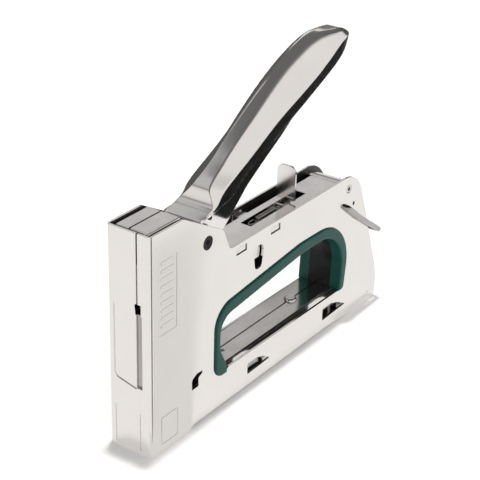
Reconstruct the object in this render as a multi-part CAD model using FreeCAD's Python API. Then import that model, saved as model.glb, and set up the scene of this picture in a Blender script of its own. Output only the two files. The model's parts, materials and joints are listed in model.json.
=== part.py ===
import FreeCAD, Part
import math
import os

# A hand-operated staple gun (tacker) of pressed steel, in millimetres.
# X runs forward to the nose, Y to the tool's left and Z up. The origin is under the middle
# of the tool, on the surface that it stands on.
# Places along the tool are given as "back", the distance behind the flat front of the nose,
# and heights as "up", the height above the foot of the nose.

# ---- Driving dimensions ----
BODY_LENGTH = 202.0
BODY_WIDTH = 25.0
TOWER_HEIGHT = 116.0
DECK_HEIGHT = 86.7          # top edge of the side walls behind the tower
SHEET = 1.2                 # steel of the two body shells
HALF = BODY_WIDTH / 2
INSIDE = HALF - SHEET       # inner face of a side wall
NOSE_X = BODY_LENGTH / 2

PIVOT_BACK, PIVOT_UP = 42.3, 97.0       # the handle's pin
PIVOT_RADIUS = 3.35
RUNNING_FIT = 0.07                      # radial play of a turning fit
LIFT_BACK, LIFT_UP = 21.0, 84.0         # the pin that lifts the hammer
SPRING_BACK = 9.4                       # axis of the power spring

SEAM_Y = 4.75               # where the two shells meet on the front of the nose
LOW_SEAM_Y = 6.3            # and where they meet below the channel
LOW_SEAM_TOP = 36.4
SEAM_GAP = 0.8
BLADE_FRONT, BLADE_BACK = 2.1, 3.1

FLOOR_UP = 21.0             # floor of the grip opening, the top of the magazine cover
CROWN_UP = 16.2             # top of the staples
CROWN_HALF = 5.3            # half the width of a 10.6 mm staple
RAIL_BOTTOM = 2.0

BAIL_BACK, BAIL_UP = 163.9, 69.9        # pivot of the handle lock
BAIL_WIRE = 1.5
BAIL_Y = HALF + 0.4 + BAIL_WIRE

CAP_FRONT = 3.8             # front ends of the two strips on top of the tower

TAB_BACK = 125.0            # the force adjuster's upright tab
SLOT_FRONT, SLOT_REAR, SLOT_HALF = 90.0, 139.0, 3.1
DECK_PLATE_TOP = 84.2
DECK_LEFT, DECK_RIGHT = 10.8, 7.2       # how far the deck reaches each side of the middle

# ---- Outlines in side view: (back, up) or (back, up, corner radius) ----
BODY_OUTLINE = [
    (0, 0), (0, TOWER_HEIGHT), (24, TOWER_HEIGHT, 4), (54.3, 99.2, 3.5),
    (59.9, DECK_HEIGHT, 3), (175.8, DECK_HEIGHT, 19), (BODY_LENGTH, 16, 40),
    (BODY_LENGTH, 0, 4), (186, 0, 8), (152, 2.3, 10), (31.5, 2.3, 1.5), (30.2, 0, 0.8),
]
GRIP_OUTLINE = [
    (48.7, 19.6, 6.5), (58.6, 19.6, 2.0), (60.4, FLOOR_UP + 0.6, 1.5), (166.0, 20.2, 2.5),
    (171.3, 64.3, 27.5), (122, 65.4, 60), (48.7, 58.1, 14),
]
GRIP_INNER = [
    (60.5, 10.0, 0.5), (57.6, 25.5, 14), (52.6, 35, 14), (52.6, 51.6, 9.5), (124, 59.0, 60),
    (163.6, 58.4, 22), (160.6, 10.0, 0.5),
]
LOUVRES = [
    [(77, 8.8, 0.6), (97, 9.3, 0.3), (90.5, 13.2, 1.5), (85, 14.9, 1.5), (77, 15.0, 0.6)],
    [(146.7, 8.2, 0.6), (170, 8.8, 0.3), (161, 13.6, 1.5), (155, 15.3, 1.5), (146.7, 15.4, 0.6)],
]
HOOK_WINDOW = [
    (30.9, 22.6, 0.4), (36.2, 22.6, 0.4), (36.0, 27.2, 1.0), (39.2, 28.8, 0.3),
    (39.0, 30.0, 0.4), (34.6, 30.2, 2.0), (30.9, 28.2, 2.0),
]
TEARDROP = [(81.2, 66.4, 2.4), (86.6, 66.4, 2.4), (88.6, 79.2, 3.7), (79.3, 79.2, 3.7)]
LUGS = [(65.5, 73.3), (94.5, 101.8)]
LUG_LOW, LUG_HIGH = 81.3, 84.1
SPOT_WELDS = [(147.4, 68.9), (101.4, 74.6)]


# ---- Geometry helpers ----
def point(back, up, y=0.0):
    return FreeCAD.Vector(NOSE_X - back, y, up)


def rounded_wire(corners, radii):
    """A closed wire through the corners, each turned by an arc of its own radius."""
    starts, middles, ends = [], [], []
    count = len(corners)
    for index, radius in enumerate(radii):
        here = corners[index]
        back_way = (corners[index - 1] - here).normalize()
        on_way = (corners[(index + 1) % count] - here).normalize()
        half_angle = back_way.getAngle(on_way) / 2
        reach = radius / math.tan(half_angle)
        bisector = (back_way + on_way).normalize()
        starts.append(here + back_way * reach)
        middles.append(here + bisector * (radius / math.sin(half_angle) - radius))
        ends.append(here + on_way * reach)
    edges = []
    for index, radius in enumerate(radii):
        if radius > 0:
            edges.append(Part.Arc(starts[index], middles[index], ends[index]).toShape())
        edges.append(Part.LineSegment(ends[index], starts[(index + 1) % count]).toShape())
    return Part.Wire(edges)


def side_plate(outline, y_low, y_high):
    """A side-view outline made into a plate between two Y positions."""
    corners = [point(corner[0], corner[1], y_low) for corner in outline]
    radii = [corner[2] if len(corner) > 2 else 0.0 for corner in outline]
    return Part.Face(rounded_wire(corners, radii)).extrude(FreeCAD.Vector(0, y_high - y_low, 0))


def block(back_low, back_high, y_low, y_high, up_low, up_high):
    corner = point(back_high, up_low, y_low)
    return Part.makeBox(back_high - back_low, y_high - y_low, up_high - up_low, corner)


def cross_pin(back, up, radius, y_low, y_high):
    return Part.makeCylinder(radius, y_high - y_low, point(back, up, y_low), FreeCAD.Vector(0, 1, 0))


def long_rod(back_low, back_high, y, up, radius):
    length = back_high - back_low
    return Part.makeCylinder(radius, length, point(back_high, up, y), FreeCAD.Vector(1, 0, 0))


def upright_rod(back, y, up_low, up_high, radius):
    return Part.makeCylinder(radius, up_high - up_low, point(back, up_low, y), FreeCAD.Vector(0, 0, 1))


def other_side(shape):
    return shape.mirror(FreeCAD.Vector(0, 0, 0), FreeCAD.Vector(0, 1, 0))


def both_sides(shape):
    return [shape, other_side(shape)]


def rounded(shape, radius, wanted):
    """The shape with a fillet on each edge whose bounding box is the wanted one."""
    return shape.makeFillet(radius, [edge for edge in shape.Edges if wanted(edge.BoundBox)])


def along(axis_length, other_a, other_b):
    """True for an edge that runs only along the first of three extents."""
    return axis_length > 0.5 and other_a < 0.01 and other_b < 0.01


def coil(radius, wire, pitch, length):
    """A helical spring about +Z that starts at the origin."""
    helix = Part.makeHelix(pitch, length, radius)
    section = Part.Wire(Part.makeCircle(wire, FreeCAD.Vector(radius, 0, 0), FreeCAD.Vector(0, 1, 0)))
    return Part.Wire(helix).makePipeShell([section], True, True)


def rod_between(start, end, radius):
    way = end - start
    return Part.makeCylinder(radius, way.Length, start, way)


def bent_rod(corners, bend, radius):
    """A round rod along a run of points, with a bend of one radius at each inner point."""
    pieces = []
    start = corners[0]
    for index in range(1, len(corners) - 1):
        here = corners[index]
        back_way = (corners[index - 1] - here).normalize()
        on_way = (corners[index + 1] - here).normalize()
        half_angle = back_way.getAngle(on_way) / 2
        reach = bend / math.tan(half_angle)
        entry = here + back_way * reach
        centre = here + (back_way + on_way).normalize() * (bend / math.sin(half_angle))
        turn_axis = on_way.cross(back_way)
        section = Part.Face(Part.Wire(Part.makeCircle(radius, entry, back_way)))
        turn = 180 - math.degrees(2 * half_angle)
        pieces.append(rod_between(start, entry, radius))
        pieces.append(section.revolve(centre, turn_axis, turn))
        start = here + on_way * reach
    pieces.append(rod_between(start, corners[-1], radius))
    return pieces[0].multiFuse(pieces[1:]).removeSplitter()


# ---- Body shells ----
def wall_openings():
    """What is cut through each side wall, from well inside it to well outside it."""
    low, high = INSIDE - 3, HALF + 3
    cuts = [side_plate(GRIP_OUTLINE, low, high), side_plate(TEARDROP, low, high)]
    cuts += [side_plate(window, low, high) for window in LOUVRES + [HOOK_WINDOW]]
    play = 0.4
    for front, rear in LUGS:
        cuts.append(block(front - play, rear + play, low, high, LUG_LOW - play, LUG_HIGH + play))
    cuts.append(cross_pin(PIVOT_BACK, PIVOT_UP, PIVOT_RADIUS + 0.3, INSIDE + 0.5, high))
    cuts.append(cross_pin(PIVOT_BACK, PIVOT_UP, PIVOT_RADIUS, low, high))
    cuts.append(cross_pin(BAIL_BACK, BAIL_UP, BAIL_WIRE + RUNNING_FIT, low, high))
    cuts.append(cross_pin(166.9, 79.3, 2.4, INSIDE + 0.6, high))
    cuts.append(cross_pin(166.9, 79.3, 2.0, low, high))
    cuts.append(cross_pin(172.6, 69.0, 1.1, low, high))
    cuts.append(cross_pin(193.5, 6.2, 0.8, low, high))
    return cuts


def wall():
    plate = side_plate(BODY_OUTLINE, INSIDE, HALF)
    return plate.cut(wall_openings())


def name_plate_reliefs():
    """Two shallow plain panels pressed into the side of the nose."""
    depth = 0.25
    low, high = HALF - depth, HALF + 1
    tall = side_plate([(5.9, 63.6, 1), (19.3, 63.6, 1), (19.3, 102, 1), (5.9, 102, 1)], low, high)
    ribs = [
        side_plate([(8, up, 0.7), (17.2, up, 0.7), (17.2, up + 1.8, 0.7), (8, up + 1.8, 0.7)], low, high)
        for up in range(67, 100, 4)
    ]
    square = side_plate([(7.3, 4, 1), (20.2, 4, 1), (20.2, 19.6, 1), (7.3, 19.6, 1)], low, high)
    middle = side_plate([(8.1, 4.8, 0.6), (19.4, 4.8, 0.6), (19.4, 18.8, 0.6), (8.1, 18.8, 0.6)], low, high)
    return [tall.cut(ribs), square.cut(middle)]


def spot_dimples():
    """The marks of two spot welds, each a shallow round hollow in the side wall."""
    reach, depth = 3.2, 0.15
    radius = (reach ** 2 + depth ** 2) / (2 * depth)
    centres = [point(back, up, HALF - depth + radius) for back, up in SPOT_WELDS]
    return [Part.makeSphere(radius, centre) for centre in centres]


def front_flange(y_low, y_high):
    flange = block(0, SHEET, y_low, y_high, 0, TOWER_HEIGHT)
    slot = block(-1, 3, 3.4, 6.9, 74.9, 80.6)
    channel = block(-1, 3, 3.9, 7.5, LOW_SEAM_TOP, 74.9)
    return flange.cut([slot, channel])


def foot_flange():
    return block(3.6, 29.5, 8.6, INSIDE, 0, SHEET)


def corner_bend(shell):
    """Rounds the upright corner between a side wall and the front of the nose."""
    shell = shell.removeSplitter()
    def upright_outer(box):
        outer_y = max(abs(box.YMin), abs(box.YMax))
        return along(box.ZLength, box.XLength, box.YLength) and (
            abs(box.XMax - NOSE_X) < 0.01 and outer_y > HALF - 0.01 and box.ZLength > 60)
    return rounded(shell, 2.0, upright_outer)


def left_shell():
    low_seam = block(-1, 3, 0, LOW_SEAM_Y, -1, LOW_SEAM_TOP)
    flange = front_flange(SEAM_Y + SEAM_GAP / 2, INSIDE).cut(low_seam)
    solid = wall().fuse([flange, foot_flange()])
    return corner_bend(solid).cut(name_plate_reliefs() + spot_dimples())


def front_pocket():
    """The shallow recess in the front of the nose, which slopes in at its top."""
    depth = 0.45
    face = [(-9.1, 79.2, 1), (4.2, 79.2, 0), (4.2, 35.6, 0.5), (-9.1, 38.6, 3)]
    corners = [point(-1, up, y) for y, up, _ in face]
    radii = [radius for _, _, radius in face]
    recess = Part.Face(rounded_wire(corners, radii)).extrude(FreeCAD.Vector(-1 - depth, 0, 0))
    slope = side_plate([(0, 79.2), (depth, 74.8), (2, 74.8), (2, 79.2)], -12, 12)
    return recess.cut(slope)


def right_shell():
    low_flange = block(0, SHEET, 0, LOW_SEAM_Y, 0, LOW_SEAM_TOP)
    flange = front_flange(-INSIDE, SEAM_Y - SEAM_GAP / 2).fuse(low_flange)
    solid = corner_bend(other_side(wall()).fuse([flange, other_side(foot_flange())]))
    guide = [block(-1, 0.3, y, y + 0.5, 2.5, 23) for y in (-8.8, LOW_SEAM_Y - 0.5)]
    reliefs = [other_side(relief) for relief in name_plate_reliefs() + spot_dimples()]
    return solid.cut([front_pocket()] + guide + reliefs)


def grip_insert():
    """The plastic lining of the finger opening, an upside-down U with rounded rims."""
    reach = HALF + 0.9
    outer = side_plate(GRIP_OUTLINE, -reach, reach)
    solid = outer.cut(side_plate(GRIP_INNER, -reach - 1, reach + 1))
    def rim(box):
        at_face = abs(abs(box.YMax) - reach) < 0.01 and box.YLength < 0.01
        return at_face and box.ZMin > 20.9
    solid = rounded(solid, 0.8, rim)
    return solid.cut(block(40, 175, -INSIDE, INSIDE, 10, FLOOR_UP))


# ---- Inside the body ----
def inner_frame():
    """The upside-down channel between the walls, with lugs that lock into them."""
    plate_low = DECK_PLATE_TOP - SHEET
    solid = block(55.5, 160, -DECK_RIGHT, DECK_LEFT, plate_low, DECK_PLATE_TOP)
    solid = solid.fuse([
        block(60, 158, DECK_LEFT - SHEET, DECK_LEFT, 71.5, plate_low),
        block(60, 158, -DECK_RIGHT, SHEET - DECK_RIGHT, 71.5, plate_low),
    ])
    lug_end = HALF - 0.5
    for front, rear in LUGS:
        solid = solid.fuse(block(front, rear, -lug_end, lug_end, LUG_LOW, plate_low))
        solid = solid.cut(block(front, rear, SHEET - DECK_RIGHT, DECK_LEFT - SHEET, LUG_LOW, plate_low))
        solid = solid.fuse(block(front, rear, -lug_end, lug_end, plate_low, LUG_HIGH))
    slot = block(SLOT_FRONT, SLOT_REAR, -SLOT_HALF, SLOT_HALF, 80, 90)
    pin_holes = cross_pin(92.0, 80.9, 0.8, -9, 12)
    return solid.cut([slot, pin_holes]).removeSplitter()


def back_strap():
    """The curved plate that closes the rear between the walls, above the magazine's mouth."""
    outer = [(160.3, 82, 0), (160.3, 84.2, 0), (173.8, 84.2, 17), (196.4, 23, 0), (186, 23, 0)]
    inner = [(150, 70, 0), (150, 82.7, 0), (172.7, 82.7, 15.5), (195.0, 22, 0), (170, 22, 0)]
    strap = side_plate(outer, -INSIDE, INSIDE).cut(side_plate(inner, -INSIDE - 1, INSIDE + 1))
    return max(strap.Solids, key=lambda solid: solid.Volume)


def tower_cap(seam_y, edge_y):
    """One of the two strips that close the top of the tower, rolled down along its outer edge."""
    y_low, y_high = min(seam_y, edge_y), max(seam_y, edge_y)
    top, underside, lip_end = TOWER_HEIGHT - 1.0, TOWER_HEIGHT - 2.2, TOWER_HEIGHT - 4.4
    plate = block(CAP_FRONT, 26.3, y_low, y_high, underside, top)
    front = block(CAP_FRONT, CAP_FRONT + 1.2, y_low, y_high, lip_end, underside)
    inner_y = edge_y - math.copysign(1.2, edge_y)
    lip = block(CAP_FRONT, 26.3, min(inner_y, edge_y), max(inner_y, edge_y), lip_end, underside)
    solid = plate.fuse([front, lip]).removeSplitter()

    def front_bend(box):
        at_front = abs(box.XMax - (NOSE_X - CAP_FRONT)) < 0.01 and box.ZMin > top - 0.1
        return at_front and along(box.YLength, box.XLength, box.ZLength)

    def edge_bend(box):
        at_edge = abs(box.YMin - edge_y) < 0.01 and box.ZMin > top - 0.1
        return at_edge and along(box.XLength, box.YLength, box.ZLength)

    return rounded(rounded(solid, 0.8, edge_bend), 0.6, front_bend)


def spring_seat():
    plate = block(2.6, 25, -INSIDE, INSIDE, 110.4, 111.6)
    post = upright_rod(SPRING_BACK, 0, 97, 110.4, 2.6)
    return plate.fuse(post).removeSplitter()


def nose_plate():
    plate = block(SHEET, 1.8, -INSIDE, INSIDE, 0.6, 100)
    return plate.cut(block(1, 2, 3.4, 6.9, 74.9, 80.6))


def blade_guide():
    upright = block(3.4, 4.8, -INSIDE, INSIDE, 21.6, 54)
    shelf = block(4.8, 24, -INSIDE, INSIDE, 52.6, 54)
    return upright.fuse(shelf).removeSplitter()


def bumper():
    pad = block(5.2, 19, -7.5, 7.5, 54, 60)
    return rounded(pad, 1.5, lambda box: along(box.ZLength, box.XLength, box.YLength))


def nose_foot():
    return block(3.6, 29.5, -8.5, 8.5, 0, SHEET)


def magazine_channel():
    """The fixed channel that the staples and the rail run in, windowed like the walls."""
    outer_half, wall_thickness, roof = 7.3, 1.0, 18.3
    solid = block(3.8, 186, -outer_half, outer_half, 3.6, roof + wall_thickness)
    inner_half = outer_half - wall_thickness
    solid = solid.cut(block(3, 187, -inner_half, inner_half, 3, roof))
    windows = [block(74, 98, -9, 9, 3, 15), block(143.5, 171, -9, 9, 3, 15.4)]
    return solid.cut(windows + [upright_rod(136.5, -2.0, 15, 25, 1.5)])


def magazine_cover(y_low, y_high):
    plate = block(50, 168, y_low, y_high, 19.3, FLOOR_UP)
    return plate.cut([upright_rod(136.5, -2.0, 15, 25, 1.5), upright_rod(71.7, 0.3, 15, 25, 1.2)])


def cover_rivet():
    shank = upright_rod(136.5, -2.0, 18.3, FLOOR_UP, 1.5)
    head = upright_rod(136.5, -2.0, FLOOR_UP, FLOOR_UP + 1.3, 3.4)
    solid = shank.fuse(head).removeSplitter()
    return rounded(solid, 0.9, lambda box: abs(box.ZMin - FLOOR_UP - 1.3) < 0.01 and box.ZLength < 0.01)


def pivot_pin():
    pin = cross_pin(PIVOT_BACK, PIVOT_UP, PIVOT_RADIUS, -HALF + 0.3, HALF - 0.3)
    dimple = Part.makeCone(1.6, 0.6, 0.8, point(PIVOT_BACK, PIVOT_UP, HALF - 0.3), FreeCAD.Vector(0, -1, 0))
    return pin.cut(both_sides(dimple))


def stop_pin():
    return cross_pin(33.0, 82.9, 1.2, -INSIDE, INSIDE)


def rear_spacer():
    tube = cross_pin(166.9, 79.3, 2.0, -HALF, HALF)
    return tube.cut(cross_pin(166.9, 79.3, 1.15, -HALF - 1, HALF + 1))


def bail_stops():
    return both_sides(cross_pin(172.6, 69.0, 1.1, INSIDE - 2, HALF - 0.2))


def heel_rivets():
    return both_sides(cross_pin(193.5, 6.2, 0.8, INSIDE, HALF - 0.1))


# ---- Handle ----
# Each station along the handle: the rim's place, the crest's place, how far down from the crest
# to the rim the side is creased, half the width at the rim, the crease and the crest, and the
# radius at the crest. The side leans out from the crest to the crease and in from there down.
HANDLE_STATIONS = [
    ((39.2, 105.9), (38.6, 107.4), 0.40, 10.4, 10.5, 10.4, 0.4),
    ((44.7, 107.6), (44.0, 109.4), 0.40, 10.4, 10.5, 10.4, 0.4),
    ((49.8, 108.3), (48.4, 111.0), 0.40, 10.4, 10.5, 10.2, 0.6),
    ((53.6, 109.3), (50.4, 113.4), 0.42, 10.3, 10.5, 8.4, 1.0),
    ((57.2, 109.7), (51.6, 116.2), 0.38, 9.9, 10.5, 6.2, 1.4),
    ((61.8, 109.9), (53.4, 118.8), 0.30, 9.3, 10.5, 4.8, 1.8),
    ((67.6, 111.4), (57.6, 121.8), 0.28, 8.8, 10.5, 4.1, 2.0),
    ((76.0, 116.6), (64.8, 126.4), 0.36, 8.5, 10.5, 3.8, 2.2),
    ((86.4, 121.6), (75.0, 133.6), 0.45, 8.5, 10.5, 4.1, 2.8),
    ((100.3, 128.0), (89.5, 143.4), 0.49, 8.5, 10.5, 4.9, 4.6),
    ((116.6, 135.1), (106.0, 154.0), 0.57, 8.5, 10.5, 5.7, 6.4),
    ((133.0, 142.2), (123.0, 162.6), 0.62, 8.5, 10.5, 6.3, 7.4),
    ((146.6, 148.2), (139.0, 168.0), 0.58, 8.4, 10.3, 6.3, 7.4),
    ((156.0, 152.6), (151.0, 168.8), 0.44, 8.1, 9.9, 5.9, 6.4),
    ((162.6, 156.4), (160.2, 167.9), 0.36, 7.3, 8.9, 5.2, 4.2),
    ((166.9, 159.6), (165.6, 166.7), 0.36, 6.0, 7.4, 4.2, 2.2),
    ((169.6, 161.9), (168.9, 165.2), 0.40, 4.2, 5.2, 3.0, 0.8),
]
HANDLE_STEEL = 1.4
CREASE_RADIUS = 1.2
RIM_RADIUS = 0.5
RIM_BEAD = 1.1
LOFT_DEGREE = 3
OPEN_STATIONS = slice(2, 14)     # the foot and the tip are closed underneath


def handle_wire(levels, radii):
    """A closed section from levels (a point in the middle plane and half the width there)."""
    side = FreeCAD.Vector(0, 1, 0)
    left = [middle + side * half for middle, half in levels]
    right = [middle - side * half for middle, half in reversed(levels)]
    return rounded_wire(left + right, radii + radii[::-1])


def handle_section(station):
    rim, crest, crease, rim_half, crease_half, crest_half, crest_radius = station
    low, high = point(*rim), point(*crest)
    levels = [(low, rim_half), (high + (low - high) * crease, crease_half), (high, crest_half)]
    return handle_wire(levels, [RIM_RADIUS, CREASE_RADIUS, crest_radius])


def handle_hollow_section(station):
    """The inside of the channel at a station, carried on below the rim so that it is open."""
    rim, crest, crease, rim_half, crease_half, crest_half, crest_radius = station
    low, high = point(*rim), point(*crest)
    depth = (low - high).Length
    down = (low - high) / depth
    crease_depth = max(crease * depth, HANDLE_STEEL + 1.0)
    levels = [
        (low + down * 3, rim_half - RIM_BEAD),
        (high + down * crease_depth, crease_half - HANDLE_STEEL),
        (high + down * HANDLE_STEEL, crest_half - HANDLE_STEEL * 0.6),
    ]
    return handle_wire(levels, [RIM_RADIUS, RIM_RADIUS, max(crest_radius - HANDLE_STEEL, 0.3)])


def handle_lever():
    outer_sections = [handle_section(station) for station in HANDLE_STATIONS]
    inner_sections = [handle_hollow_section(station) for station in HANDLE_STATIONS[OPEN_STATIONS]]
    outside = Part.makeLoft(outer_sections, True, False, False, LOFT_DEGREE)
    return outside.cut(Part.makeLoft(inner_sections, True, False, False, LOFT_DEGREE))


LEVER_OUTLINE = [
    (17.6, 81.2, 3.2), (23.4, 79.6, 3.5), (40.5, 88.9, 6), (52, 88.6, 6), (61.4, 95.3, 2),
    (69.0, 101.6, 3), (80.0, 111.0, 8), (91.4, 118.1, 20), (108.0, 127.6, 30), (121.0, 136.2, 4),
    (126.0, 142.6, 1), (115, 139.4, 20), (97.5, 131.1, 30), (72.5, 115.7, 20), (62, 109.8, 6),
    (45.6, 106.6, 2), (40.6, 101.4, 2), (34.6, 99.4, 6), (20.5, 89.6, 3.4),
]
LEVER_INNER, LEVER_OUTER = 6.0, 7.2
TIE_BACK, TIE_UP = 50.4, 105.4


def lift_lever():
    """A side plate of the inner lever: fork in front, pivot, and an arm inside the handle."""
    plate = side_plate(LEVER_OUTLINE, LEVER_INNER, LEVER_OUTER)
    return plate.cut([
        cross_pin(PIVOT_BACK, PIVOT_UP, PIVOT_RADIUS + RUNNING_FIT, 5, 9),
        cross_pin(LIFT_BACK, LIFT_UP, 1.5, 5, 9),
        cross_pin(TIE_BACK, TIE_UP, 1.2, 5, 9),
    ])


def lever_spacer():
    tube = cross_pin(PIVOT_BACK, PIVOT_UP, 4.8, -LEVER_INNER, LEVER_INNER)
    return tube.cut(cross_pin(PIVOT_BACK, PIVOT_UP, PIVOT_RADIUS + RUNNING_FIT, -9, 9))


def lift_pin():
    return cross_pin(LIFT_BACK, LIFT_UP, 1.5, -LEVER_OUTER - 0.6, LEVER_OUTER + 0.6)


def lift_roller():
    roller = cross_pin(LIFT_BACK, LIFT_UP, 2.3, -3.5, 3.5)
    return roller.cut(cross_pin(LIFT_BACK, LIFT_UP, 1.5, -5, 5))


def lever_bridge():
    """The block between the inner lever's two sides that the handle's foot is welded to."""
    block_under = block(43.5, 54.4, -5.0, 5.0, 103.0, 111.5)
    pieces = block_under.cut([handle_lever(), cross_pin(TIE_BACK, TIE_UP, 1.2, -9, 9)])
    return max(pieces.Solids, key=lambda solid: solid.Volume)


def tie_pin():
    return cross_pin(TIE_BACK, TIE_UP, 1.2, -LEVER_OUTER - 0.6, LEVER_OUTER + 0.6)


# ---- Hammer ----
def hammer():
    """The sprung weight: a block under the spring with a hook over the lifting roller."""
    weight = block(BLADE_BACK, 26.4, -6.0, 6.0, 61, 69)
    column = block(24.4, 26.4, -3.2, 3.2, 69, 89.6)
    hook = block(16.2, 26.4, -3.2, 3.2, 86.6, 89.6)
    solid = weight.fuse([column, hook]).removeSplitter()
    return solid.cut(cross_pin(5.6, 65, 0.9, -9, 9))


def driver_blade():
    blade = block(BLADE_FRONT, BLADE_BACK, -6.0, 6.0, 17.4, 68)
    def tip(box):
        return along(box.XLength, box.YLength, box.ZLength) and box.ZMax < 20
    return rounded(blade, 0.6, tip)


def hammer_pin():
    return cross_pin(5.6, 65, 0.9, -6.2, 6.2)


def power_spring():
    wire = 0.75
    spring = coil(3.9, wire, 3.6, 110.4 - 69 - 2 * wire)
    return spring.translated(point(SPRING_BACK, 69 + wire))


# ---- Force adjuster ----
TAB_CORNERS = [(-5.2, 85.4), (5.8, 85.4), (5.8, 104.3), (-5.2, 104.3)]


def force_adjuster():
    """A slider under the deck whose tab stands up through the slot."""
    slider = block(116.5, 134, -4.8, 4.8, 79.6, 81.6)
    neck = block(TAB_BACK - 0.6, TAB_BACK + 0.6, -2.6, 2.6, 81.6, 86.4)
    corners = [point(TAB_BACK - 0.6, up, y) for y, up in TAB_CORNERS]
    tab = Part.Face(rounded_wire(corners, [0.8, 0.8, 3.6, 3.6])).extrude(FreeCAD.Vector(-SHEET, 0, 0))
    ear = block(119, 120, -2.2, 2.2, 81.6, 84.6)
    hole = long_rod(118, 121, 0, 83.3, 0.5)
    return slider.fuse([neck, tab, ear]).removeSplitter().cut(hole)


def spring_anchor():
    return cross_pin(92.0, 80.9, 0.8, -DECK_RIGHT, DECK_LEFT)


def adjuster_spring():
    """The tension spring that lies in the slot, between the anchor and the adjuster."""
    wire, up = 0.45, 83.0
    turns = coil(1.5, wire, 1.15, 16.1)
    turns.rotate(FreeCAD.Vector(0, 0, 0), FreeCAD.Vector(0, 1, 0), -90)
    turns = turns.translated(point(99.2, up))
    loop = bent_rod([point(99.0, up, 1.5), point(95.5, up, 1.5), point(91.4, up, 0.0),
                     point(95.5, up, -1.5), point(98.4, up, -1.5)], 0.8, wire)
    tail = bent_rod([point(116.0, up, 1.5), point(118.0, up, 1.5), point(118.4, up, -1.2)], 0.8, wire)
    return [turns, loop, tail]


# ---- Handle lock ----
def lock_bail():
    """A wire bail: a stub through each wall, a leg outside it and a bar behind the body."""
    stub_y, bend = INSIDE - 1.4, 1.8
    knee = (178.0, 58.6)
    end = (199.2, 43.6)
    half = [point(BAIL_BACK, BAIL_UP, stub_y), point(BAIL_BACK, BAIL_UP, BAIL_Y)]
    half += [point(*knee, BAIL_Y), point(*end, BAIL_Y)]
    mirror_half = [FreeCAD.Vector(corner.x, -corner.y, corner.z) for corner in reversed(half)]
    return bent_rod(half + mirror_half, bend, BAIL_WIRE)


# ---- Magazine ----
def magazine_rail():
    """The rail that the staples sit on, with a foot that runs under the fixed channel."""
    core = block(4.2, 190, -4.3, 4.3, RAIL_BOTTOM + 1.2, CROWN_UP - 1.0)
    core = core.cut(block(3, 187, -3.3, 3.3, RAIL_BOTTOM + 1.2, CROWN_UP - 2.2))
    foot = block(4.2, 190, -7.0, 7.0, RAIL_BOTTOM, RAIL_BOTTOM + 1.2)
    slot = block(99, 182, -1.4, 1.4, CROWN_UP - 3, CROWN_UP)
    return core.fuse(foot).removeSplitter().cut(slot)


def end_cap():
    """The block at the rear end of the rail that is gripped to draw the magazine out."""
    cap = side_plate([(190, 2, 0.5), (199.6, 2, 3), (199.4, 18.4, 3), (190, 18.4, 0.5)], -10.6, 10.6)
    return cap.cut(block(191.4, 201, -4.2, 4.2, 9, 20))


def magazine_latch():
    """The thumb catch let into the end cap, with its own pivot stubs."""
    outline = [(193.4, 9.6, 1.2), (198.8, 9.6, 1.2), (198.8, 19.4, 1.6), (193.4, 18.6, 1.2)]
    lever = side_plate(outline, -3.8, 3.8)
    return lever.cut(cross_pin(195.6, 12.2, 1.0 + RUNNING_FIT, -5, 5))


def latch_pin():
    return cross_pin(195.6, 12.2, 1.0, -4.2, 4.2)


def guide_rod():
    return long_rod(6, 187, 0, 8.6, 1.0)


def staple_strip():
    """A stick of staples, closed up leg to leg over the rail."""
    strip = block(2.2, 97.5, -CROWN_HALF, CROWN_HALF, 4.0, CROWN_UP)
    return strip.cut(block(2, 98, -CROWN_HALF + 0.6, CROWN_HALF - 0.6, 3, CROWN_UP - 0.6))


def pusher():
    """The follower: a saddle over the rail, with a runner on the guide rod inside it."""
    saddle = block(98, 112, -5.6, 5.6, 8.2, CROWN_UP + 0.8)
    saddle = saddle.cut(block(97, 113, -4.6, 4.6, 8, CROWN_UP - 0.6))
    stem = block(100, 110, -1.1, 1.1, CROWN_UP - 3.2, CROWN_UP)
    runner = block(100, 110, -2.8, 2.8, 5.4, CROWN_UP - 3.2)
    solid = saddle.fuse([stem, runner]).removeSplitter()
    return solid.cut(long_rod(99, 111, 0, 8.6, 1.0 + RUNNING_FIT))


def pusher_spring():
    wire = 0.4
    spring = coil(1.9, wire, 3.2, 187 - 110 - 2 * wire)
    spring.rotate(FreeCAD.Vector(0, 0, 0), FreeCAD.Vector(0, 1, 0), -90)
    return spring.translated(point(110 + wire, 8.6))


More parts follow.
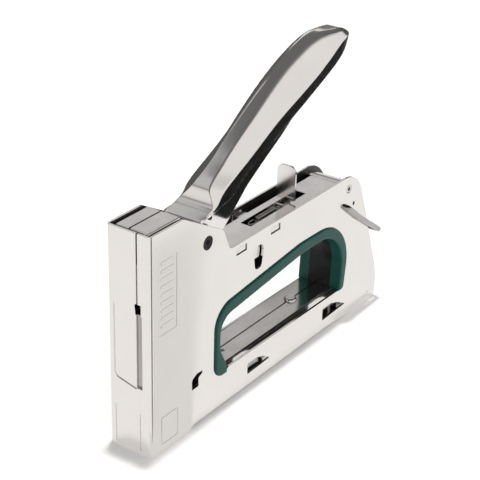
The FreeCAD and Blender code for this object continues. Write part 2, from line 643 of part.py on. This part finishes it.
NODES = {
    "left_shell": left_shell,
    "right_shell": right_shell,
    "grip_insert": grip_insert,
    "inner_frame": inner_frame,
    "back_strap": back_strap,
    "tower_cap_left": lambda: tower_cap(-2.0, 8.7),
    "tower_cap_right": lambda: tower_cap(-2.8, -10.6),
    "spring_seat": spring_seat,
    "nose_plate": nose_plate,
    "blade_guide": blade_guide,
    "bumper": bumper,
    "nose_foot": nose_foot,
    "magazine_channel": magazine_channel,
    "magazine_cover_left": lambda: magazine_cover(-1.7, 7.6),
    "magazine_cover_right": lambda: magazine_cover(-INSIDE, -2.5),
    "cover_rivet": cover_rivet,
    "pivot_pin": pivot_pin,
    "stop_pin": stop_pin,
    "rear_spacer": rear_spacer,
    "bail_stops": bail_stops,
    "heel_rivets": heel_rivets,
    "handle_lever": handle_lever,
    "lift_lever_left": lift_lever,
    "lift_lever_right": lambda: other_side(lift_lever()),
    "lever_spacer": lever_spacer,
    "lift_pin": lift_pin,
    "lift_roller": lift_roller,
    "lever_bridge": lever_bridge,
    "tie_pin": tie_pin,
    "hammer": hammer,
    "driver_blade": driver_blade,
    "hammer_pin": hammer_pin,
    "power_spring": power_spring,
    "force_adjuster": force_adjuster,
    "spring_anchor": spring_anchor,
    "adjuster_spring": adjuster_spring,
    "lock_bail": lock_bail,
    "magazine_rail": magazine_rail,
    "end_cap": end_cap,
    "magazine_latch": magazine_latch,
    "latch_pin": latch_pin,
    "guide_rod": guide_rod,
    "staple_strip": staple_strip,
    "pusher": pusher,
    "pusher_spring": pusher_spring,
}


def main():
    os.makedirs("parts", exist_ok=True)
    for name, make in NODES.items():
        made = make()
        shape = Part.makeCompound(made) if isinstance(made, list) else made
        if not shape.isValid():
            print("not valid:", name)
        print(f"{name}: {len(shape.Solids)} solid(s), {shape.Volume:.0f} mm3")
        shape.exportStep(f"parts/{name}.step")


main()
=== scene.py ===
"""The looks of a hand tacker: camera, studio, materials and finer pieces around the CAD frame."""
import json
import math

import bmesh
import bpy
from mathutils import Matrix, Vector


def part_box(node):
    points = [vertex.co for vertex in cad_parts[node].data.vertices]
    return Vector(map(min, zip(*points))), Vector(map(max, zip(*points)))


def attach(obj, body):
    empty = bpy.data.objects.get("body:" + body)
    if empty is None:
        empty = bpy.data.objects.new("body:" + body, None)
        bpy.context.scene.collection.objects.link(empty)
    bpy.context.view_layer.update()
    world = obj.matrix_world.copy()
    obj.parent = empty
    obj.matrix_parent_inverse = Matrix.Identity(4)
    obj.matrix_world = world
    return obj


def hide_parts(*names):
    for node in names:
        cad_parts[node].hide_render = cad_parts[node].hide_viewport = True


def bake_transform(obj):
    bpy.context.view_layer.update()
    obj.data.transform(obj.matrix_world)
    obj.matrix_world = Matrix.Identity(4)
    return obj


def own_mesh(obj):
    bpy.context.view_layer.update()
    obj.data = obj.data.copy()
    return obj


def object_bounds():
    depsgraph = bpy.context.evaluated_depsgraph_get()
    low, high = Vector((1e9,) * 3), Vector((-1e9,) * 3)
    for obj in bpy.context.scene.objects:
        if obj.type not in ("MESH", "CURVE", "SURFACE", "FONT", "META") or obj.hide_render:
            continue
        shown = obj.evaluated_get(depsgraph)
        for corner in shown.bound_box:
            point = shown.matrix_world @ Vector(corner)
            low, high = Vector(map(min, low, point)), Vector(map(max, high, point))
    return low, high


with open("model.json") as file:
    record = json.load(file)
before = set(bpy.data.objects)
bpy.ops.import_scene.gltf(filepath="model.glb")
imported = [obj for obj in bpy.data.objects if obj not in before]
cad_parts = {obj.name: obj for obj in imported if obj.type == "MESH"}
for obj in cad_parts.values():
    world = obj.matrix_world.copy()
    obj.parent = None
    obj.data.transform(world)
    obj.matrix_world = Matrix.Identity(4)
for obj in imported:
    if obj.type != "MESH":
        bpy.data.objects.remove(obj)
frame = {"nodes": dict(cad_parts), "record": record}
cad_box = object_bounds()
NODES = frame["nodes"]
MM = 0.001


# ---- Camera ----
AZIMUTH, ELEVATION, ROLL = math.radians(125.07), math.radians(26.77), math.radians(1.41)
DISTANCE = 0.639
TARGET = Vector((0.0601, 0.0313, 0.1050))
FOCAL_LENGTH, SENSOR_WIDTH = 106.7, 36.0        # mm


def make_camera():
    data = bpy.data.cameras.new("camera")
    data.lens = FOCAL_LENGTH
    data.sensor_width = SENSOR_WIDTH
    camera = bpy.data.objects.new("camera", data)
    bpy.context.scene.collection.objects.link(camera)
    towards = Vector((math.sin(AZIMUTH) * math.cos(ELEVATION),
                      -math.cos(AZIMUTH) * math.cos(ELEVATION), math.sin(ELEVATION)))
    right = (-towards).cross(Vector((0, 0, 1))).normalized()
    up = right.cross(-towards)
    tilted_right = right * math.cos(ROLL) + up * math.sin(ROLL)
    tilted_up = up * math.cos(ROLL) - right * math.sin(ROLL)
    place = Matrix((tilted_right, tilted_up, towards)).transposed().to_4x4()
    place.translation = TARGET + towards * DISTANCE
    camera.matrix_world = place
    bpy.context.scene.camera = camera


# ---- Node helpers ----
def spread(tree, value, low, high, start=0.3, end=0.7):
    node = tree.nodes.new("ShaderNodeMapRange")
    node.inputs["From Min"].default_value = start
    node.inputs["From Max"].default_value = end
    node.inputs["To Min"].default_value = low
    node.inputs["To Max"].default_value = high
    tree.links.new(value, node.inputs["Value"])
    return node.outputs[0]


def math_node(tree, operation, first, second=None):
    """A sum or test of one or two sockets or numbers."""
    node = tree.nodes.new("ShaderNodeMath")
    node.operation = operation
    for socket, value in zip(node.inputs, (first, second)):
        if isinstance(value, (int, float)):
            socket.default_value = value
        elif value is not None:
            tree.links.new(value, socket)
    return node.outputs[0]


def blended(tree, factor, first, second, kind="RGBA"):
    """A mix of two colours or numbers; each is a socket or a constant."""
    node = tree.nodes.new("ShaderNodeMix")
    node.data_type = kind
    ends = {"RGBA": (6, 7, 2), "FLOAT": (2, 3, 0)}[kind]
    tree.links.new(factor, node.inputs["Factor"])
    for index, value in zip(ends, (first, second)):
        if isinstance(value, bpy.types.NodeSocket):
            tree.links.new(value, node.inputs[index])
        else:
            node.inputs[index].default_value = value
    return node.outputs[ends[2]]


# ---- Studio ----
# The sky's brightness from straight down, at 0, to straight up, at 1, and a warm tint on it.
SKY = [(0.0, 0.97), (0.40, 0.84), (0.50, 0.62), (0.62, 0.24), (0.80, 0.15), (1.0, 0.20)]
SKY_GREEN, SKY_BLUE = 0.985, 0.97
LEFT_PANEL, LEFT_PANEL_FADE = (0.90, 0.885, 0.87), (0.20, 0.46)
KEY_PLACE, KEY_AIM, KEY_SIDES, KEY_POWER = (-0.03, -0.04, 1.8), (0, 0, 0.05), (0.10, 0.10), 20


def make_world():
    """Bright low down and to the tool's left, dark overhead; the camera itself sees white."""
    world = bpy.data.worlds.new("studio")
    bpy.context.scene.world = world
    world.use_nodes = True
    tree = world.node_tree
    tree.nodes.clear()
    out = tree.nodes.new("ShaderNodeOutputWorld")
    shade = tree.nodes.new("ShaderNodeBackground")
    coord = tree.nodes.new("ShaderNodeTexCoord")
    split = tree.nodes.new("ShaderNodeSeparateXYZ")
    ramp = tree.nodes.new("ShaderNodeValToRGB")
    tree.links.new(coord.outputs["Generated"], split.inputs[0])
    tree.links.new(split.outputs["Z"], ramp.inputs[0])
    elements = ramp.color_ramp.elements
    elements[0].position, elements[1].position = SKY[0][0], SKY[-1][0]
    for position, _ in SKY[1:-1]:
        elements.new(position)
    for element, (_, value) in zip(elements, SKY):
        element.color = (value, value * SKY_GREEN, value * SKY_BLUE, 1)
    leftward = spread(tree, split.outputs["Y"], 0.0, 1.0, *LEFT_PANEL_FADE)
    sky = blended(tree, leftward, ramp.outputs["Color"], (*LEFT_PANEL, 1))
    path = tree.nodes.new("ShaderNodeLightPath")
    white = tree.nodes.new("ShaderNodeBackground")
    white.inputs["Color"].default_value = (1, 1, 1, 1)
    mix = tree.nodes.new("ShaderNodeMixShader")
    tree.links.new(sky, shade.inputs["Color"])
    tree.links.new(path.outputs["Is Camera Ray"], mix.inputs[0])
    tree.links.new(shade.outputs[0], mix.inputs[1])
    tree.links.new(white.outputs[0], mix.inputs[2])
    tree.links.new(mix.outputs[0], out.inputs["Surface"])


def area_light(name, place, aim, size, power):
    data = bpy.data.lights.new(name, "AREA")
    data.shape = "RECTANGLE"
    data.size, data.size_y = size
    data.energy = power
    light = bpy.data.objects.new(name, data)
    bpy.context.scene.collection.objects.link(light)
    light.location = place
    light.rotation_euler = (Vector(aim) - Vector(place)).to_track_quat("-Z", "Y").to_euler()
    light.visible_glossy = False


def card(name, corners, value):
    """A flat flag or panel that only mirror-like surfaces see."""
    mesh = bpy.data.meshes.new(name)
    mesh.from_pydata([Vector(corner) for corner in corners], [], [tuple(range(len(corners)))])
    flag = bpy.data.objects.new(name, mesh)
    bpy.context.scene.collection.objects.link(flag)
    material = bpy.data.materials.new(name)
    material.use_nodes = True
    tree = material.node_tree
    tree.nodes.clear()
    out = tree.nodes.new("ShaderNodeOutputMaterial")
    glow = tree.nodes.new("ShaderNodeEmission")
    glow.inputs["Color"].default_value = (value, value, value, 1)
    tree.links.new(glow.outputs[0], out.inputs["Surface"])
    mesh.materials.append(material)
    flag.visible_camera = False
    flag.visible_diffuse = False
    flag.visible_shadow = False
    flag.visible_transmission = False


# What only the polished metal sees: dark flags round the handle, a grey panel over its foot and
# greys on the floor beside the nose. Each is a name, a brightness and its corners.
FLAGS = [
    ("flag_over", 0.15, [(-0.9, -0.205, 0.30), (-0.03, -0.205, 0.30), (-0.03, -0.115, 0.30),
                         (0.06, -0.115, 0.30), (0.06, 0.01, 0.30), (-0.9, 0.01, 0.30)]),
    ("flag_far_low", 0.10, [(0.3, -0.25, 0.0), (0.3, -0.25, 0.26), (-0.28, -0.25, 0.26),
                            (-0.28, -0.25, 0.19), (-0.37, -0.25, 0.19), (-0.37, -0.25, 0.26),
                            (-0.65, -0.25, 0.26), (-0.65, -0.25, 0.175), (-0.37, -0.25, 0.175),
                            (-0.37, -0.25, 0.0)]),
    ("flag_far_high", 0.13, [(0.5, -0.6, 0.2), (0.5, -0.6, 0.85), (-0.45, -0.6, 0.85),
                             (-0.45, -0.6, 0.2)]),
    ("flag_rear", 0.08, [(-0.35, -0.14, 0.02), (-0.35, -0.14, 0.5), (-0.35, 0.05, 0.5),
                         (-0.35, 0.05, 0.02)]),
    ("flag_rim", 0.01, [(-0.6, 0.0125, 0.095), (0.03, 0.0125, 0.095), (0.03, 0.07, 0.095),
                        (-0.6, 0.07, 0.095)]),
    ("flag_floor", 0.05, [(-0.40, -0.25, 0.001), (-0.08, -0.25, 0.001), (-0.08, -0.08, 0.001),
                          (-0.40, -0.08, 0.001)]),
    ("panel_foot", 0.58, [(-0.3, -0.45, 0.6), (0.45, -0.45, 0.6), (0.45, -0.2, 0.6),
                          (-0.3, -0.2, 0.6)]),
    ("panel_corner", 0.22, [(0.102, 0.022, 0.001), (-0.02, 0.30, 0.001), (0.19, 0.30, 0.001)]),
    ("panel_nose", 0.84, [(0.068, 0.014, 0.0005), (0.13, 0.014, 0.0005), (-0.06, 0.15, 0.0005),
                          (-0.122, 0.15, 0.0005)]),
]

FLOOR_REACH = 6.0
FLOOR_SEEN, FLOOR_GLOW_SEEN = (1, 1, 1, 1), 0.04                    # as the camera sees it
FLOOR_MIRRORED, FLOOR_GLOW_MIRRORED = (0.41, 0.41, 0.41, 1), 0.55   # as the tool sees it


def make_floor():
    """A white floor that is greyer where it is mirrored in the tool."""
    mesh = bpy.data.meshes.new("floor")
    corners = [(-1, -1), (1, -1), (1, 1), (-1, 1)]
    mesh.from_pydata([(x * FLOOR_REACH, y * FLOOR_REACH, 0) for x, y in corners],
                     [], [(0, 1, 2, 3)])
    floor = bpy.data.objects.new("floor", mesh)
    bpy.context.scene.collection.objects.link(floor)
    material = bpy.data.materials.new("floor")
    material.use_nodes = True
    tree = material.node_tree
    shader = tree.nodes["Principled BSDF"]
    path = tree.nodes.new("ShaderNodeLightPath")
    direct = path.outputs["Is Camera Ray"]
    tree.links.new(blended(tree, direct, FLOOR_MIRRORED, FLOOR_SEEN), shader.inputs["Base Color"])
    shader.inputs["Roughness"].default_value = 0.9
    shader.inputs["Specular IOR Level"].default_value = 0.0
    shader.inputs["Emission Color"].default_value = (1, 1, 1, 1)
    glow = blended(tree, direct, FLOOR_GLOW_MIRRORED, FLOOR_GLOW_SEEN, "FLOAT")
    tree.links.new(glow, shader.inputs["Emission Strength"])
    mesh.materials.append(material)


# ---- Materials ----
SHELL_INNER_Y = 11.4 * MM       # inner faces of the side walls, with a little to spare
NOSE_INNER_X = cad_box[1][0] - 1.15 * MM
# Painted shade: the shells' inner faces are coloured dark steel to stand for the shadow between
# the walls.
SHADED_INSIDE_STEEL, INSIDE_ROUGHNESS = (0.10, 0.097, 0.095), 0.5
SHADED_CORE_HALF, CORE_PAINTED_SHADE = 7.0 * MM, (0.004, 0.005, 0.005)     # the lining's middle, painted black as shade inside the finger opening
BEVEL_SAMPLES, NOISE_ROUGHNESS = 6, 0.55
PLASTIC_CLOUD, PLASTIC_SPECULAR, PLASTIC_RELIEF = 90, 0.2, 0.6


def new_material(name):
    material = bpy.data.materials.new(name)
    material.use_nodes = True
    tree = material.node_tree
    return material, tree, tree.nodes["Principled BSDF"]


def noise(tree, scale, stretch=(1, 1, 1), detail=4.0):
    """A noise pattern fixed to the object; scale is in features a metre."""
    coord = tree.nodes.new("ShaderNodeTexCoord")
    mapping = tree.nodes.new("ShaderNodeMapping")
    mapping.inputs["Scale"].default_value = stretch
    texture = tree.nodes.new("ShaderNodeTexNoise")
    texture.inputs["Scale"].default_value = scale
    texture.inputs["Detail"].default_value = detail
    texture.inputs["Roughness"].default_value = NOISE_ROUGHNESS
    tree.links.new(coord.outputs["Object"], mapping.inputs["Vector"])
    tree.links.new(mapping.outputs[0], texture.inputs["Vector"])
    return texture.outputs["Fac"]


def tones(tree, value, dark, light, start=0.35, end=0.65):
    ramp = tree.nodes.new("ShaderNodeValToRGB")
    first, last = ramp.color_ramp.elements
    first.position, last.position = start, end
    first.color = (*dark, 1)
    last.color = (*light, 1)
    tree.links.new(value, ramp.inputs[0])
    return ramp.outputs["Color"]


def bump(tree, shader, value, depth, strength=1.0, edge=0.0):
    """Fine relief from a pattern, over edges that catch the light as if slightly rounded."""
    node = tree.nodes.new("ShaderNodeBump")
    node.inputs["Distance"].default_value = depth
    node.inputs["Strength"].default_value = strength
    tree.links.new(value, node.inputs["Height"])
    if edge > 0:
        soft_edge = tree.nodes.new("ShaderNodeBevel")
        soft_edge.samples = BEVEL_SAMPLES
        soft_edge.inputs["Radius"].default_value = edge
        tree.links.new(soft_edge.outputs[0], node.inputs["Normal"])
    tree.links.new(node.outputs[0], shader.inputs["Normal"])


def painted_shade_inside(tree):
    """1 on the shells' inner faces, which are painted dark as shade, and 0 on the faces outside.
    """
    coord = tree.nodes.new("ShaderNodeTexCoord")
    split = tree.nodes.new("ShaderNodeSeparateXYZ")
    tree.links.new(coord.outputs["Object"], split.inputs[0])
    off_centre = math_node(tree, "ABSOLUTE", split.outputs["Y"])
    within = math_node(tree, "LESS_THAN", off_centre, SHELL_INNER_Y)
    behind = math_node(tree, "LESS_THAN", split.outputs["X"], NOSE_INNER_X)
    return math_node(tree, "MULTIPLY", within, behind)


def metal(name, dark, light, rough, grain=(1, 1, 1), grain_scale=900, bump_depth=2e-6, cloud=60,
          edge=0.0, shade_side=None):
    """Polished or brushed metal: cloudy tone, uneven gloss and a fine grain along one axis; the
    inner side, where given, is painted dark as shade.
    """
    material, tree, shader = new_material(name)
    shader.inputs["Metallic"].default_value = 1.0
    colour = tones(tree, noise(tree, cloud, detail=3), dark, light)
    fine = noise(tree, grain_scale, grain, detail=5)
    gloss = spread(tree, fine, *rough)
    # Painted shade: the inner faces are darkened here in place of the shade inside the shell.
    if shade_side:
        within = shade_side(tree)
        colour = blended(tree, within, colour, (*SHADED_INSIDE_STEEL, 1))
        gloss = blended(tree, within, gloss, INSIDE_ROUGHNESS, "FLOAT")
    tree.links.new(colour, shader.inputs["Base Color"])
    tree.links.new(gloss, shader.inputs["Roughness"])
    bump(tree, shader, fine, bump_depth, edge=edge)
    return material


def plastic(name, dark, light, rough, grain_scale=2500, bump_depth=8e-6, edge=0.0, shaded_core=None):
    """Moulded plastic or rubber; where it has a shaded core, its middle is painted black as
    shade.
    """
    material, tree, shader = new_material(name)
    colour = tones(tree, noise(tree, PLASTIC_CLOUD, detail=3), dark, light)
    # Painted shade: the lining's middle, inside the finger opening, is coloured black for the
    # shade there.
    if shaded_core:
        coord = tree.nodes.new("ShaderNodeTexCoord")
        split = tree.nodes.new("ShaderNodeSeparateXYZ")
        tree.links.new(coord.outputs["Object"], split.inputs[0])
        off_centre = math_node(tree, "ABSOLUTE", split.outputs["Y"])
        within = math_node(tree, "LESS_THAN", off_centre, shaded_core)
        colour = blended(tree, within, colour, (*CORE_PAINTED_SHADE, 1))
    tree.links.new(colour, shader.inputs["Base Color"])
    fine = noise(tree, grain_scale, detail=2)
    tree.links.new(spread(tree, fine, *rough), shader.inputs["Roughness"])
    shader.inputs["Specular IOR Level"].default_value = PLASTIC_SPECULAR
    bump(tree, shader, fine, bump_depth, PLASTIC_RELIEF, edge)
    return material


def make_materials():
    return {
        "shell_steel": metal(
            "shell_steel", (0.790, 0.757, 0.722), (0.805, 0.772, 0.737), (0.10, 0.16),
            (14, 14, 1.2), 220, 1.2e-6, edge=0.3 * MM, shade_side=painted_shade_inside),
        "handle_chrome": metal(
            "handle_chrome", (0.79, 0.765, 0.745), (0.81, 0.785, 0.765), (0.10, 0.17),
            (1, 1, 1), 1800, 3e-6, edge=0.2 * MM),
        "inner_steel": metal(
            "inner_steel", (0.70, 0.68, 0.665), (0.78, 0.76, 0.745), (0.12, 0.22),
            (1, 16, 16), 300, 1.5e-6, edge=0.25 * MM),
        "black_steel": metal(
            "black_steel", (0.018, 0.017, 0.018), (0.035, 0.033, 0.033), (0.28, 0.42),
            edge=0.2 * MM),
        "spring_steel": metal(
            "spring_steel", (0.37, 0.355, 0.345), (0.46, 0.44, 0.43), (0.14, 0.24), cloud=25),
        "staple_wire": metal(
            "staple_wire", (0.62, 0.61, 0.60), (0.80, 0.79, 0.78), (0.16, 0.28),
            (1, 1, 18), 500, 2e-6),
        "grip_plastic": plastic(
            "grip_plastic", (0.0008, 0.056, 0.043), (0.001, 0.066, 0.051), (0.20, 0.26),
            edge=1.6 * MM, shaded_core=SHADED_CORE_HALF),
        "bumper_rubber": plastic(
            "bumper_rubber", (0.012, 0.012, 0.012), (0.03, 0.03, 0.03), (0.6, 0.8)),
    }


def dress_nodes(materials):
    for row in frame["record"]["subparts"]:
        for node_slot in NODES[row["node"]].material_slots:
            node_slot.material = materials[row["material_slot"]]


# ---- Finer pieces ----
def add_piece(name, work, material, body, stands_for):
    """Makes the worked mesh an object that rides on a body in place of a CAD node."""
    mesh = bpy.data.meshes.new(name)
    bmesh.ops.recalc_face_normals(work, faces=work.faces)
    work.to_mesh(mesh)
    work.free()
    mesh.materials.append(material)
    piece = bpy.data.objects.new(name, mesh)
    bpy.context.scene.collection.objects.link(piece)
    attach(piece, body)
    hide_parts(stands_for)


STAPLE_WIRE, STAPLE_PITCH, STAPLE_BEND = 0.6 * MM, 1.27 * MM, 0.95 * MM
STAPLE_ROUND, STAPLE_GAP = 0.14 * MM, 0.05 * MM
BEND_POINTS = 5


def arc_points(centre, radius, start, end):
    """Points round one bend of a staple, from angle to angle."""
    count = BEND_POINTS
    angles = [start + (end - start) * step / (count - 1) for step in range(count)]
    return [(centre[0] + radius * math.cos(angle), centre[1] + radius * math.sin(angle))
            for angle in angles]


def staple_outline(half, top, foot, wire, bend):
    """A staple from behind, as (y, z) round the wire: outside and then back along the inside."""
    right_angle = math.pi / 2
    outside = [(half, foot)]
    outside += arc_points((half - bend, top - bend), bend, 0, right_angle)
    outside += arc_points((bend - half, top - bend), bend, right_angle, 2 * right_angle)
    outside.append((-half, foot))
    inner_bend = bend - wire
    inside = [(wire - half, foot)]
    inside += arc_points((bend - half, top - bend), inner_bend, 2 * right_angle, right_angle)
    inside += arc_points((half - bend, top - bend), inner_bend, right_angle, 0)
    inside.append((half - wire, foot))
    return outside, inside


def make_staples(material):
    """The stick of staples, one by one, over the magazine's rail."""
    low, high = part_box("staple_strip")
    half, top, foot = high[1], high[2], low[2]
    count = int((high[0] - low[0]) / STAPLE_PITCH)
    pitch = (high[0] - low[0]) / count
    outside, inside = staple_outline(half, top, foot, STAPLE_WIRE, STAPLE_BEND)
    small_outside, small_inside = staple_outline(
        half - STAPLE_ROUND, top - STAPLE_ROUND, foot, STAPLE_WIRE - 2 * STAPLE_ROUND,
        STAPLE_BEND - STAPLE_ROUND)
    work = bmesh.new()
    for index in range(count):
        front = low[0] + pitch * (index + 1) - STAPLE_GAP / 2
        rear = low[0] + pitch * index + STAPLE_GAP / 2
        loops = []
        for x, outer_side, inner_side in (
                (front, small_outside, small_inside), (front - STAPLE_ROUND, outside, inside),
                (rear + STAPLE_ROUND, outside, inside), (rear, small_outside, small_inside)):
            loops.append([work.verts.new((x, y, z)) for y, z in outer_side + inner_side])
        corners = len(outside) + len(inside)
        for first, second in zip(loops, loops[1:]):
            for step in range(corners):
                after = (step + 1) % corners
                work.faces.new((first[step], first[after], second[after], second[step]))
        side = len(outside)
        for loop in (loops[0], loops[-1]):
            for step in range(side - 1):
                work.faces.new((loop[step], loop[step + 1], loop[corners - 2 - step],
                                loop[corners - 1 - step]))
    add_piece("staples", work, material, "magazine", "staple_strip")


def spring_piece(name, node):
    """A spring's wire again, as a piece of its own in place of the CAD node."""
    piece = bpy.data.objects.new(name, NODES[node].data.copy())
    bpy.context.scene.collection.objects.link(piece)
    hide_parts(node)
    return piece


def make_springs():
    """The springs as pieces of their own: the power spring rides on the body, the pusher spring
    on the magazine, and the adjuster spring's place is baked into its mesh.
    """
    power = spring_piece("power_coil", "power_spring")
    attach(power, "body")
    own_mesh(power)
    pusher = spring_piece("pusher_coil", "pusher_spring")
    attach(pusher, "magazine")
    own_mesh(pusher)
    adjuster = spring_piece("adjuster_coil", "adjuster_spring")
    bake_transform(adjuster)


make_camera()
make_world()
make_floor()
for flag_name, flag_value, flag_corners in FLAGS:
    card(flag_name, flag_corners, flag_value)
area_light("key", KEY_PLACE, KEY_AIM, KEY_SIDES, KEY_POWER)
materials = make_materials()
dress_nodes(materials)
make_staples(materials["staple_wire"])
make_springs()
bpy.context.scene.view_settings.view_transform = "Standard"
